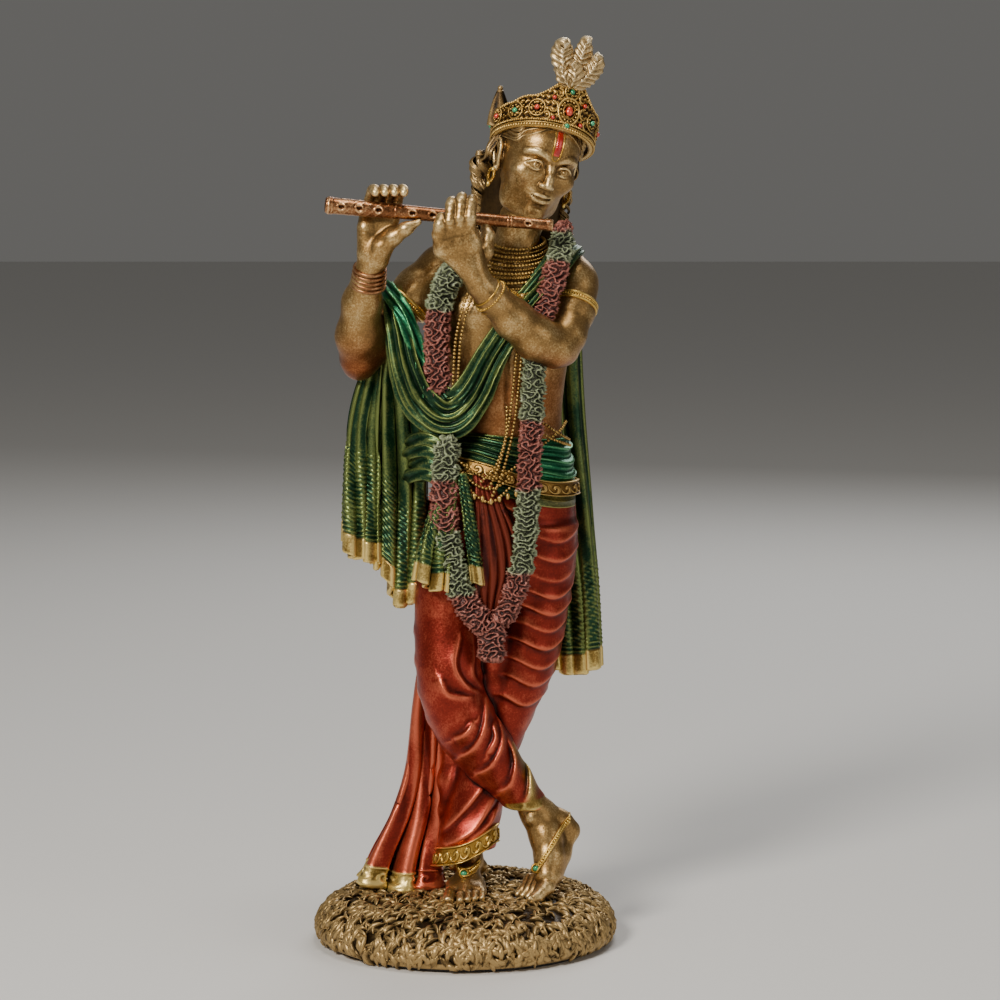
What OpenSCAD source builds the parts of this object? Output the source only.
// Painted resin figurine of a flute player standing cross-legged on a round grassy mound.
// Millimetres. The origin is the centre of the base's underside, +Z is up and the figure faces -Y.

/* [Base] */
// Width of the mound, left to right
base_width = 108; // [100:1:120]
// Depth of the mound, front to back
base_depth = 112; // [96:1:120]
// Height of the flat ground that the feet stand on
ground_h = 18; // [16:0.5:18]
// Thickness of the felt under the mound
felt_t = 1.5; // [1:0.25:3]
/* [Flute] */
// Radius of the flute at its open end
flute_r1 = 2.9; // [2.6:0.1:3.2]
// Radius of the flute at its mouth end
flute_r2 = 2; // [1.8:0.1:2.4]
// Radius of a finger hole
flute_hole_r = 0.8; // [0.5:0.1:1]
/* [Armature] */
// Radius of the steel rod in each leg
leg_rod_r = 1.5; // [1:0.1:1.8]
// Radius of the dowels in the neck, shoulders and plume
dowel_r = 1.2; // [0.8:0.1:1.5]
/* [Jewellery] */
// Number of bangles on the right wrist
bangle_count = 5; // [3:1:6]
// Radius of a bangle's wire
bangle_wire_r = 0.8; // [0.6:0.1:0.9]
// Half width of the flower garland
garland_r = 4.6; // [4:0.1:5]
/* [Hidden] */

GOLD = "darkgoldenrod";
COPPER = "sienna";
RED = "firebrick";
GREEN = "darkgreen";
PINK = "indianred";

limb_sides = 16;
band_sides = 12;
finger_sides = 8;
smooth_steps = 2;

// Key places of the pose
head_at = [25.7, -3, 284];
head_nod = 4;
head_lean = 18;
head_turn = 20;
neck_top = [20.5, 0, 264];
flute_open_end = [-47.8, -31, 269.3];
flute_mouth_end = [31.2, -23, 262];
left_rod_foot = [0.5, -3, 4];
left_rod_top = [9, 3.5, 70];
right_rod_foot = [25.5, -20, 5];
right_rod_top = [30, -9, 40];

// ---- Lofting ----

// A station is [x, y, z, half size across, half size in depth].
function unit(v) = v / norm(v);
function spot(s) = [s[0], s[1], s[2]];

// Point at share t between b and c on the smooth curve through a, b, c and d.
function curve_at(a, b, c, d, t) =
    0.5 * ((2 * b) + (c - a) * t + (2 * a - 5 * b + 4 * c - d) * t * t
    + (3 * b - a - 3 * c + d) * t * t * t);

// The stations with more put between them along a smooth curve.
function smoothed(stations, steps = smooth_steps) =
    let (last = len(stations) - 1)
    [for (i = [0 : last - 1], k = [0 : steps - 1])
        curve_at(stations[max(i - 1, 0)], stations[i], stations[i + 1],
            stations[min(i + 2, last)], k / steps),
        stations[last]];

function heading(stations, i) =
    unit(spot(stations[min(i + 1, len(stations) - 1)]) - spot(stations[max(i - 1, 0)]));
function across(t) = unit(cross(t, [0, 1, 0]));

// Ring of points round station i, square to the path.
function oval_ring(stations, i, sides) =
    let (s = stations[i], t = heading(stations, i), u = across(t), v = cross(u, t))
    [for (k = [0 : sides - 1])
        spot(s) + u * s[3] * cos(360 * k / sides) - v * s[4] * sin(360 * k / sides)];

// Flat ring with a pleated front and back. s[4] is how far the pleats stand out.
function pleat_ring(stations, i, pleats, thickness) =
    let (s = stations[i], t = heading(stations, i), u = across(t), v = cross(u, t), n = 4 * pleats,
        wave = [for (k = [0 : n]) s[4] * cos(360 * pleats * k / n) / 2])
    concat(
        [for (k = [0 : n]) spot(s) + u * s[3] * (1 - 2 * k / n) - v * (wave[k] + thickness / 2)],
        [for (k = [n : -1 : 0]) spot(s) + u * s[3] * (1 - 2 * k / n) - v * (wave[k] - thickness / 2)]);

module skin(rings) {
    n = len(rings[0]);
    last = len(rings) - 1;
    polyhedron(
        points = [for (r = rings) each r],
        faces = concat(
            [[for (i = [0 : n - 1]) i]],
            [for (j = [0 : last - 1], i = [0 : n - 1])
                [j * n + i, (j + 1) * n + i, (j + 1) * n + (i + 1) % n, j * n + (i + 1) % n]],
            [[for (i = [n - 1 : -1 : 0]) last * n + i]]));
}

module limb(stations, sides = limb_sides, steps = smooth_steps) {
    fine = smoothed(stations, steps);
    skin([for (i = [0 : len(fine) - 1]) oval_ring(fine, i, sides)]);
}

module pleated(stations, pleats, thickness, steps = smooth_steps) {
    fine = smoothed(stations, steps);
    skin([for (i = [0 : len(fine) - 1]) pleat_ring(fine, i, pleats, thickness)]);
}

// Joins what is inside into one solid with flat facets.
module faceted() {
    resize([0, 0, 0]) children();
}

// Turns +Z onto the line from a to b, with the origin at a.
module along(a, b) {
    d = b - a;
    translate(a)
        rotate([0, acos(d[2] / norm(d)), atan2(d[1], d[0])])
            children();
}

module rod(a, b, r1, r2) {
    along(a, b) cylinder(h = norm(b - a), r1 = r1, r2 = r2, $fn = 48);
}

// Ring of round wire around a limb, square to the line from a to b.
module wire_ring(a, b, share, inner_r, wire_r) {
    along(a + (b - a) * share, b)
        rotate_extrude($fn = 64) translate([inner_r + wire_r, 0]) circle(r = wire_r, $fn = 24);
}

module in_head() {
    translate(head_at) rotate([head_nod, 0, 0]) rotate([0, head_lean, 0]) rotate([0, 0, head_turn])
        children();
}

// ---- Base ----

module oval_slab(z, h, w, d) {
    translate([0, 0, z])
        skin([for (k = [0, 1]) [for (a = [0 : 7.5 : 359]) [w / 2 * cos(a), d / 2 * sin(a), h * k]]]);
}

module felt_pad() {
    color("dimgray") oval_slab(0, felt_t, base_width - 8, base_depth - 8);
}

module mound_body() {
    rise = ground_h - felt_t;
    // [share of the rise, share of the width]
    profile = [[0, 0.97], [0.1, 0.99], [0.3, 1], [0.5, 0.98], [0.72, 0.92], [0.9, 0.81], [1, 0.7]];
    skin([for (p = profile)
        [for (a = [0 : 10 : 359])
            [base_width / 2 * p[1] * cos(a), base_depth / 2 * p[1] * sin(a), felt_t + rise * p[0]]]]);
}

module base_mound() {
    color(GOLD) faceted() difference() {
        mound_body();
        leg_rod_cores();
    }
}

// ---- Steel inside ----

module leg_rod_cores() {
    rod(left_rod_foot, left_rod_top, leg_rod_r, leg_rod_r);
    rod(right_rod_foot, right_rod_top, leg_rod_r, leg_rod_r);
}

module leg_rods() {
    color("silver") leg_rod_cores();
}

module neck_dowel() {
    color("silver") rod([18, 0.5, 250], [25, -2, 276], dowel_r, dowel_r);
}

module shoulder_dowel_cores() {
    rod([26, 2, 243], [40, 1, 242], dowel_r, dowel_r);
    rod([2, 2, 243], [-12, 2, 242], dowel_r, dowel_r);
}

module shoulder_dowels() {
    color("silver") shoulder_dowel_cores();
}

module plume_pin_core() {
    rod([36, -10, 300], [37.4, -12.4, 317], dowel_r * 0.6, dowel_r * 0.6);
}

module plume_pin() {
    color("silver") plume_pin_core();
}

// ---- Legs and dhoti ----

module hips_body() {
    limb([[12, 2, 128, 22, 13], [12.5, 2, 140, 25.5, 15.5], [13, 2, 155, 26.5, 16.5],
        [14, 1.5, 168, 24.5, 16], [15.5, 1, 178, 21, 14.5], [16, 1, 184, 20, 13.8]]);
}

module left_leg_body() {
    limb([[27, 2, 150, 12, 13], [26, 2.5, 135, 12.5, 13], [24.5, 3, 118, 11.5, 12],
        [21, 4, 100, 11, 11.5], [15, 5, 84, 10, 10.5], [8, 4, 66, 9.5, 10],
        [3.2, 1.5, 48, 10, 9.8], [0.6, -0.5, 33, 10.8, 10.2]]);
}

module right_leg_body() {
    limb([[-2, -2, 150, 12, 13], [-5, -3, 135, 12.5, 13.5], [-6.5, -5, 118, 11.8, 12.5],
        [-6, -8, 100, 11.5, 12], [-3, -9, 88, 12, 12], [4, -8.5, 74, 11.5, 11],
        [12, -7.5, 63, 9.5, 9.5], [19, -7, 55, 7.5, 7.5], [22, -7, 51, 6.4, 6.4]]);
}

module dhoti_hips() {
    color(RED) hips_body();
}

module dhoti_left_leg() {
    color(RED) difference() {
        left_leg_body();
        hips_body();
        right_leg_body();
        leg_rod_cores();
    }
}

module dhoti_right_leg() {
    color(RED) difference() {
        right_leg_body();
        hips_body();
        leg_rod_cores();
    }
}

module dhoti_front_pleats() {
    color(RED) faceted() difference() {
        pleated([[13, -15.5, 160, 3, 1], [11.5, -16.5, 146, 6, 1.6], [10.5, -15.5, 130, 8, 2],
            [10, -13, 118, 7, 2]], 3, 4);
        hips_body();
        right_leg_body();
        left_leg_body();
    }
}

module dhoti_tail() {
    color(RED) faceted() difference() {
        pleated([[-8, 7, 122, 5, 1.5], [-11.5, 8.5, 100, 6, 2], [-13.5, 9, 82, 6.5, 3],
            [-15, 8.5, 62, 7.5, 4], [-18, 7, 46, 9.5, 5], [-22, 5, 31, 13, 6],
            [-24, 4, ground_h, 15.5, 6]], 3, 3);
        hips_body();
        right_leg_body();
        left_leg_body();
    }
}

module dhoti_hem_band() {
    color(GOLD) difference() {
        limb([[2.6, 1, 45.5, 11.3, 11], [1.2, 0, 38.5, 11.7, 11.3], [0.4, -0.8, 32, 12.2, 11.6]]);
        left_leg_body();
        limb([[2.6, 1, 47, 9.4, 9.4], [0.6, -0.5, 30, 10.4, 10]]);
        right_leg_body();
    }
}

// ---- Feet ----

module left_foot_body() {
    limb([[1.6, 0.5, 34, 5.2, 5.6], [1.2, -0.5, 28, 5, 5.6], [1, -2, 22.5, 4.8, 5.4]], band_sides);
    limb([[1.5, 5, 22.8, 2.4, 2.4], [1.4, 3, 22.6, 4.4, 4.2], [1.1, -2, 22.3, 5.2, 4.6],
        [0.8, -8, 21.9, 6, 4.2], [0.2, -14, 21.2, 7, 3.4], [-0.5, -20, 20.3, 7.4, 2.4],
        [-0.9, -24.5, 19.6, 6.4, 1.6]], band_sides);
}

module left_foot() {
    color(GOLD) difference() {
        left_foot_body();
        left_leg_body();
        mound_body();
        leg_rod_cores();
    }
}

module right_foot_body() {
    limb([[23, -7, 52, 6, 6], [26.5, -6, 46, 6.6, 6.6], [30, -7.5, 39, 7.2, 7],
        [29.5, -11.5, 31, 6.2, 6], [27, -16.5, 24, 5.8, 3.8], [24.5, -20.5, 20.6, 5.2, 2.2]],
        band_sides);
    limb([[31, -6, 45, 3, 3], [34, -4.5, 43, 4.6, 4.6], [37.5, -3, 41, 4.4, 4.4],
        [40, -2.5, 39.5, 2.4, 2.4]], band_sides);
}

module right_foot() {
    color(GOLD) difference() {
        right_foot_body();
        right_leg_body();
        mound_body();
        leg_rod_cores();
    }
}

module left_anklet() {
    color(GOLD) difference() {
        along([1, -4.2, 26.6], [0.8, -9, 20.4])
            rotate_extrude($fn = 48) translate([6.2, 0]) circle(r = 0.9, $fn = 24);
        mound_body();
        left_foot_body();
    }
}

module right_anklet() {
    path = [[24.2, -17.2, 28.6], [27, -17.6, 32], [30, -16, 36], [33.5, -13, 40.6], [37.4, -8, 44.8],
        [39, -3, 46.4], [36.5, 0.8, 45], [31, 1, 41.5], [26.5, -2.2, 37], [23, -7.8, 32.4],
        [22.3, -13, 29.2]];
    color(GOLD) difference() {
        limb([for (p = path) [p[0], p[1], p[2], 0.9, 0.9]], finger_sides);
        right_foot_body();
    }
}

// ---- Torso, head and hair ----

module torso_body() {
    limb([[16, 1, 184, 20, 13.8], [15.8, 0.5, 192, 19.5, 13.5], [15, 0, 206, 21.5, 14],
        [14, 0, 222, 25, 15], [14, 0.5, 234, 26.5, 15], [15.5, 1, 244, 22, 12.5],
        [17.5, 1, 251, 11, 9.5], [19, 0.5, 257, 8.2, 8.2], [neck_top[0], neck_top[1], neck_top[2], 7.8, 8]],
        20);
}

module torso() {
    color(GOLD) difference() {
        torso_body();
        shoulder_dowel_cores();
        rod([18, 0.5, 250], [25, -2, 276], dowel_r, dowel_r);
    }
}

module head_body() {
    in_head() limb([[0, -11, -20.5, 4, 4], [0, -7.5, -17.5, 8, 8], [0, -4, -12, 11.5, 13],
        [0, -1, -4, 14, 17], [0, 0, 4, 15, 18.2], [0, 0.5, 12, 14, 17], [0, 1, 18, 10, 12.5],
        [0, 1, 21, 4, 5]], 20);
}

module face_features() {
    in_head() {
        limb([[0, -15.5, 5.5, 1.2, 1.2], [0, -17.8, 1, 1.5, 1.6], [0, -19.2, -3.4, 2.2, 1.9],
            [0, -17, -5.4, 1.8, 1.2]], band_sides, 1);
        limb([[0, -14.6, -7.6, 2.4, 1.4], [0, -15, -9.2, 3.6, 2], [0, -14.2, -11, 2.2, 1.4]],
            band_sides, 1);
        for (side = [-1, 1])
            limb([[side * 14.4, -0.5, -6, 1, 1], [side * 15.4, 0, -2.5, 1.4, 2.2],
                [side * 15.8, 0.5, 2, 1.4, 3], [side * 15, 0.5, 4.5, 1, 2]], finger_sides, 1);
    }
}

module head() {
    color(GOLD) difference() {
        union() {
            head_body();
            face_features();
        }
        torso_body();
        rod([18, 0.5, 250], [25, -2, 276], dowel_r, dowel_r);
        plume_pin_core();
    }
}

module hair() {
    color(COPPER) faceted() difference() {
        limb([[25, 12, 246, 9, 4], [22, 11.5, 256, 15, 6], [21.5, 9, 268, 17.5, 8.5],
            [22.5, 8.5, 282, 17.5, 10.5], [25.5, 7, 294, 16, 11], [29, 5.5, 301, 12, 9],
            [30.5, 5, 305, 6, 4]]);
        head_body();
        on_crown() translate([0, 0, -0.2]) cylinder(h = 12, r = crown_r2 + crown_wall, $fn = 64);
        torso_body();
        plume_pin_core();
    }
}

module earrings() {
    color(GOLD) in_head() for (side = [-1, 1])
        translate([side * 16.4, -1, -8]) rotate([90, 0, 0])
            rotate_extrude($fn = 48) translate([2, 0]) circle(r = 0.9, $fn = 24);
}

// ---- Crown ----

crown_r1 = 16.2;
crown_r2 = 17.3;
crown_wall = 1.8;
crown_tip_back = 27;

module on_crown() {
    in_head() translate([-0.6, 1.6, 6.6]) rotate([-crown_tip_back, 0, 0]) scale([1, 1.06, 1]) children();
}

module crown_band() {
    color(GOLD) difference() {
        on_crown() difference() {
            cylinder(h = 9, r1 = crown_r1 + crown_wall, r2 = crown_r2 + crown_wall, $fn = 64);
            translate([0, 0, -0.1]) cylinder(h = 9.2, r1 = crown_r1, r2 = crown_r2, $fn = 64);
        }
        head_body();
    }
}

module crown_crest() {
    color(GOLD) on_crown() intersection() {
        difference() {
            translate([0, 0, 9]) cylinder(h = 9, r1 = crown_r2 + crown_wall, r2 = crown_r2 + crown_wall);
            translate([0, 0, 8.9]) cylinder(h = 9.2, r1 = crown_r2, r2 = crown_r2);
        }
        translate([0, 0, 9]) rotate([90, 0, 0]) linear_extrude(30)
            polygon([[-17, 0], [-12, 3], [-6, 5.5], [0, 9], [6, 5.5], [12, 3], [17, 0]]);
    }
}

module crown_gems() {
    color("crimson") faceted() on_crown() for (k = [-2 : 2])
        rotate([0, 0, 36 * k]) translate([0, -(crown_r1 + crown_r2) / 2 - crown_wall, 4.5])
            rotate([90, 0, 0]) cylinder(h = 1.2, r1 = k == 0 ? 2 : 1.3, r2 = k == 0 ? 1.2 : 0.8, $fn = 32);
}

module crown_side_peak() {
    color(GOLD) difference() {
        in_head() limb([[-16.4, 9.6, 11.5, 3.2, 2.8], [-17.2, 9.8, 15.5, 2.9, 2.4],
            [-18.4, 10, 19, 1.7, 1.6], [-19, 10, 22, 0.7, 0.8]], band_sides);
        on_crown() translate([0, 0, -3]) cylinder(h = 12, r = crown_r2 + crown_wall, $fn = 64);
    }
}

module feather_plume() {
    color(GOLD) difference() {
        union() {
            limb([[37.4, -11.6, 308.5, 2.2, 1.6], [36.4, -12.6, 314, 3, 2], [34.9, -13.6, 318.6, 3.7, 2.4],
                [34.7, -14.4, 322.8, 3.9, 2.4], [35.2, -15.6, 325.9, 2.9, 1.8]], band_sides);
            limb([[37.8, -11.4, 308.5, 2.2, 1.6], [39.8, -11.8, 314, 3.2, 2.1],
                [41.4, -12.4, 319.4, 3.5, 2.2], [42.8, -13.4, 324, 2.8, 1.9],
                [43.6, -14.6, 327.2, 1.4, 1.2]], band_sides);
            limb([[38.2, -11.6, 308.5, 2, 1.5], [41.6, -12.6, 312.6, 3, 2], [44.8, -13.6, 316.4, 3.2, 2.1],
                [46.4, -14.8, 319.4, 2.7, 1.9], [46.6, -15.8, 321.4, 1.8, 1.4]], band_sides);
        }
        on_crown() difference() {
            translate([0, 0, -1]) cylinder(h = 20, r = 40, $fn = 64);
            translate([0, 0, -2]) cylinder(h = 22, r = crown_r2, $fn = 64);
        }
        plume_pin_core();
    }
}

// ---- Arms and hands ----

left_elbow = [31, -16, 217];
left_wrist = [5.5, -30, 241];
right_elbow = [-37.5, -6, 215];
right_wrist = [-33.2, -22.5, 247.4];

module left_upper_arm_body() {
    limb([[36, 4, 250, 5, 5], [40, 3, 246, 8.4, 8.4], [40.5, -1, 237, 8, 8.2],
        [37.6, -7, 228, 7.1, 7.3], [34.2, -12.6, 221, 7.1, 7.3], [32, -16, 216, 5, 5]]);
}

module left_forearm_body() {
    limb([[36, -12.6, 215, 3.5, 3.5], [32, -15, 217.6, 7, 7], [25.8, -19, 221.6, 7.9, 7.8],
        [17.5, -24, 229, 7.2, 7], [10, -28, 237, 5.6, 5.3], [5.5, -30, 241, 4.9, 4.5]]);
}

module right_upper_arm_body() {
    limb([[-2, 4, 251, 5, 5], [-8, 3, 246.5, 8.6, 8.6], [-16, 1, 239, 8.2, 8.2],
        [-25, -1, 229, 7.6, 7.6], [-32.5, -3, 220, 7.3, 7.3], [-37, -4, 214, 5.5, 5.5]]);
}

module right_forearm_body() {
    limb([[-38, -3.5, 207.5, 3.5, 3.5], [-38.2, -5, 212, 7.4, 7.4], [-38, -9, 222, 8.3, 8],
        [-36.3, -15.5, 235, 6.6, 6.4], [-34.2, -20.5, 243.5, 5, 4.8], [-33.2, -22.5, 247.4, 4.8, 4.4]]);
}

module left_upper_arm() {
    color(GOLD) difference() {
        left_upper_arm_body();
        torso_body();
        shoulder_dowel_cores();
    }
}

module left_forearm() {
    color(GOLD) difference() {
        left_forearm_body();
        left_upper_arm_body();
    }
}

module right_upper_arm() {
    color(GOLD) difference() {
        right_upper_arm_body();
        torso_body();
        shoulder_dowel_cores();
    }
}

module right_forearm() {
    color(GOLD) difference() {
        right_forearm_body();
        right_upper_arm_body();
    }
}

module finger(points, r) {
    last = len(points) - 1;
    limb([for (i = [0 : last]) [points[i][0], points[i][1], points[i][2],
        r * (1 - 0.25 * i / last), r * (1 - 0.25 * i / last)]], finger_sides, 1);
}

module left_hand() {
    color(GOLD) difference() {
        union() {
            limb([[5.5, -30, 241, 4.8, 4.4], [2.5, -32, 247, 6.5, 4.2], [0, -33.2, 253, 7.8, 3.8],
                [-2, -33.6, 259, 7.8, 3.2], [-2.6, -33.4, 261.5, 7, 2.4]], band_sides);
            for (k = [0 : 3])
                finger([[-8 + 3.7 * k, -33.4, 258], [-7.6 + 3.7 * k, -33.2, 263.5],
                    [-7.2 + 3.7 * k, -31.2, 268.2], [-6.9 + 3.7 * k, -27.5, 270],
                    [-6.7 + 3.7 * k, -24.6, 268]], 2);
            finger([[5, -31, 248], [8.5, -27.5, 254], [9, -24, 259.5], [8.5, -22.5, 264]], 2.2);
        }
        flute_body();
        left_forearm_body();
    }
}

module right_hand() {
    color(GOLD) difference() {
        union() {
            limb([[-33.2, -22.5, 247.4, 4.6, 4.2], [-31.6, -24, 252, 6.2, 3.8], [-30, -24.6, 258, 7.2, 3.4],
                [-29.2, -24.6, 263.5, 7, 3], [-29, -24.6, 266, 6.4, 2.4]], band_sides);
            for (k = [0 : 3])
                finger([[-34.2 + 3.5 * k, -24.6, 264], [-33.4 + 3.5 * k, -24.8, 270],
                    [-32.5 + 3.5 * k, -26.5, 274.8], [-31.8 + 3.5 * k, -29.8, 274.8],
                    [-31.5 + 3.5 * k, -31.6, 273]], 1.9);
            finger([[-29, -26, 252.5], [-24.6, -28, 256.8], [-20.4, -29.6, 260], [-15.8, -30.2, 262.8]], 2.5);
        }
        flute_body();
        right_forearm_body();
    }
}

// ---- Flute ----

module flute_body() {
    rod(flute_open_end, flute_mouth_end, flute_r1, flute_r2);
}

module flute() {
    bore_r = flute_r2 - 1.2;
    reach = unit(flute_mouth_end - flute_open_end);
    color(COPPER) difference() {
        flute_body();
        rod(flute_open_end - reach, flute_open_end + reach * 12, bore_r, bore_r);
        for (share = [0.06, 0.14, 0.225, 0.375, 0.465, 0.89])
            translate(flute_open_end + (flute_mouth_end - flute_open_end) * share)
                rotate([90, 0, 0]) translate([0, 0, flute_r2 - 0.9])
                    cylinder(h = 3, r = flute_hole_r, $fn = 24);
    }
}

// ---- Jewellery ----

module right_bangles() {
    reach = norm(right_wrist - right_elbow);
    step = (2 * bangle_wire_r + 0.15) / reach;
    color(COPPER) for (k = [0 : bangle_count - 1])
        wire_ring(right_elbow, right_wrist, 1 - step * (bangle_count - 0.5 - k), 5.9 - 0.15 * k,
            bangle_wire_r);
}

module left_bracelet() {
    color(GOLD) for (k = [0 : 1])
        wire_ring(left_elbow, left_wrist, 0.8 + 0.06 * k, 5.9 - 0.2 * k, 0.8);
}

module left_armlet() {
    color(GOLD) wire_ring([40.5, -1, 237], [36, -10, 223], 0.35, 7.9, 0.8);
}

module right_armlet() {
    color(GOLD) wire_ring([-16, 1, 239], [-25, -1, 229], 0.5, 8.1, 0.8);
}

module collar_necklace() {
    color(GOLD) difference() {
        union() {
            limb([[17, -1.2, 247.5, 13.6, 12], [18, -0.2, 252, 11.4, 11], [18.9, 0.3, 256, 9.9, 10],
                [19.6, 0.3, 259.5, 9.4, 9.6]]);
            limb([[15.5, -5, 236.5, 11, 11.5], [16, -4.2, 241, 12, 12], [17.2, -1.8, 248.5, 12, 11.6]]);
        }
        torso_body();
    }
}

module pendant() {
    color(GOLD) difference() {
        limb([[16, -16.5, 226, 1.5, 1.4], [16, -16.5, 229, 4, 2], [16, -16.2, 233, 4.5, 2.2],
            [16, -15.5, 237, 3, 2]], band_sides);
        torso_body();
    }
}

module bead_strings() {
    color(GOLD) difference() {
        union() {
            limb([[3, -15, 236, 1.3, 1.3], [0.5, -15.4, 222, 1.4, 1.4], [-1.5, -15.4, 205, 1.4, 1.4]],
                finger_sides);
            limb([[19, -15.6, 209, 1.8, 1.3], [18.5, -15.6, 195, 1.8, 1.3], [17, -17.6, 178, 1.8, 1.3],
                [11, -18.6, 168, 1.8, 1.3]], finger_sides);
        }
        torso_body();
        hips_body();
    }
}

// ---- Garland ----

module strand(stations) {
    limb([for (s = stations) [s[0], s[1], s[2], garland_r, garland_r * 0.75]], band_sides);
}

module garland_left_upper() {
    color(PINK) difference() {
        strand([[-3, -13.5, 245], [-8, -14, 238], [-10, -14.5, 224], [-10, -14, 206]]);
        torso_body();
        right_upper_arm_body();
        swag_body();
    }
}

module garland_left_lower() {
    color(PINK) difference() {
        strand([[-7.5, -16, 184], [-6.5, -19, 173], [-7, -20, 155], [-4, -20.5, 138], [1.5, -19.5, 125],
            [6, -18, 118]]);
        hips_body();
        right_leg_body();
        sash_body();
        swag_body();
    }
}

module garland_right() {
    color(PINK) difference() {
        strand([[36, -8, 259], [34, -12, 250], [29.5, -15.5, 237], [26, -16.5, 221], [24.5, -16, 199],
            [23.5, -18.5, 180], [22, -19.5, 162], [21, -18.5, 145], [18.5, -18, 130], [12.5, -18, 120.5]]);
        torso_body();
        left_upper_arm_body();
        left_forearm_body();
        hips_body();
        sash_body();
        left_leg_body();
    }
}

module garland_tassel() {
    color(PINK) limb([[9.5, -19, 103, 2.5, 2.5], [9.5, -19, 107, 4.4, 4], [9.3, -18.5, 114, 4.4, 3.8],
        [9, -18, 118.5, 2.5, 3]], band_sides);
}

// ---- Shawl ----

module swag_body() {
    limb([[-25.5, -5, 236, 3, 2.5], [-22.5, -9.5, 224, 5, 3], [-19, -11, 210, 7, 3.4],
        [-14, -12, 199, 9, 3.6], [-6, -14.5, 193.5, 9, 3.4], [3, -15.5, 199, 8, 3],
        [12.5, -15.5, 216, 6, 2.6], [21.5, -15, 231, 4.6, 2.6], [29, -13, 241.5, 4.4, 2.6],
        [35, -8, 249, 4.6, 2.6], [37, -2, 252.5, 5, 2.2]], band_sides);
}

module shawl_swag() {
    color(GREEN) faceted() difference() {
        swag_body();
        torso_body();
        left_upper_arm_body();
        left_forearm_body();
        right_upper_arm_body();
    }
}

module shawl_side_outer() {
    color(GREEN) faceted() difference() {
        pleated([[-33, 2, 213, 4, 2.4], [-35.5, 2.5, 200, 5.5, 3], [-37.5, 3, 175, 6.5, 3.6],
            [-38.2, 3, 141, 7, 4.4]], 2, 3.2);
        right_upper_arm_body();
        right_forearm_body();
    }
}

module shawl_side_inner() {
    color(GREEN) faceted() difference() {
        pleated([[-25.5, 1, 214, 4.5, 2.4], [-25.5, 1.5, 200, 5.4, 3], [-25.5, 2, 175, 6.4, 3.6],
            [-25.6, 2.5, 150, 6.6, 4], [-25.8, 2.5, 124, 6.2, 4.6]], 2, 3.2);
        right_upper_arm_body();
        right_leg_body();
        hips_body();
        torso_body();
    }
}

module shawl_back_panel() {
    color(GREEN) faceted() difference() {
        pleated([[34, 12, 251, 8, 2], [30, 17, 238, 12, 2.5], [28, 19, 218, 14, 3], [30, 20, 190, 14, 3],
            [34, 20.5, 155, 13, 3.4], [37.6, 19, 125, 11.5, 4], [39.4, 17.5, 94.5, 10.5, 4.5]], 4, 2.6);
        torso_body();
        hips_body();
        left_leg_body();
        left_upper_arm_body();
    }
}

// ---- Sash and belt ----

module sash_body() {
    limb([[13.5, 1.5, 165, 27, 18.5], [14.5, 1, 173, 26, 18.6], [15.5, 1, 180, 23.5, 17],
        [16, 1, 187, 21.6, 15.4]]);
}

module waist_sash() {
    color(GREEN) difference() {
        sash_body();
        hips_body();
        torso_body();
    }
}

module sash_tail_wide() {
    color(GREEN) faceted() difference() {
        pleated([[-5, -18.5, 174, 2.6, 1], [-8, -20, 160, 4.5, 1.8], [-11, -20, 145, 6.2, 2.6],
            [-13, -19.5, 130, 7.5, 3.2]], 3, 2.4);
        hips_body();
        right_leg_body();
        sash_body();
    }
}

module sash_tail_narrow() {
    color(GREEN) faceted() difference() {
        pleated([[0, -19, 172, 1.6, 0.8], [1.6, -19.5, 160, 1.9, 1], [3, -19, 146, 2.2, 1.2],
            [4.2, -18.5, 134, 2.6, 1.4]], 1, 2.2);
        hips_body();
        right_leg_body();
        sash_body();
    }
}

module hip_belt() {
    color(GOLD) difference() {
        limb([[13, 1.8, 157.5, 28, 18.2], [13.3, 1.6, 164.9, 27.4, 18.2]], limb_sides, 1);
        hips_body();
        right_leg_body();
        left_leg_body();
    }
}

felt_pad();
base_mound();
leg_rods();
left_foot();
right_foot();
left_anklet();
right_anklet();
dhoti_hips();
dhoti_left_leg();
dhoti_right_leg();
dhoti_front_pleats();
dhoti_tail();
dhoti_hem_band();
torso();
neck_dowel();
shoulder_dowels();
head();
hair();
earrings();
crown_band();
crown_crest();
crown_gems();
crown_side_peak();
feather_plume();
plume_pin();
right_upper_arm();
right_forearm();
right_hand();
left_upper_arm();
left_forearm();
left_hand();
flute();
right_bangles();
left_bracelet();
right_armlet();
left_armlet();
collar_necklace();
pendant();
bead_strings();
garland_left_upper();
garland_left_lower();
garland_right();
garland_tassel();
shawl_swag();
shawl_side_outer();
shawl_side_inner();
shawl_back_panel();
waist_sash();
sash_tail_wide();
sash_tail_narrow();
hip_belt();
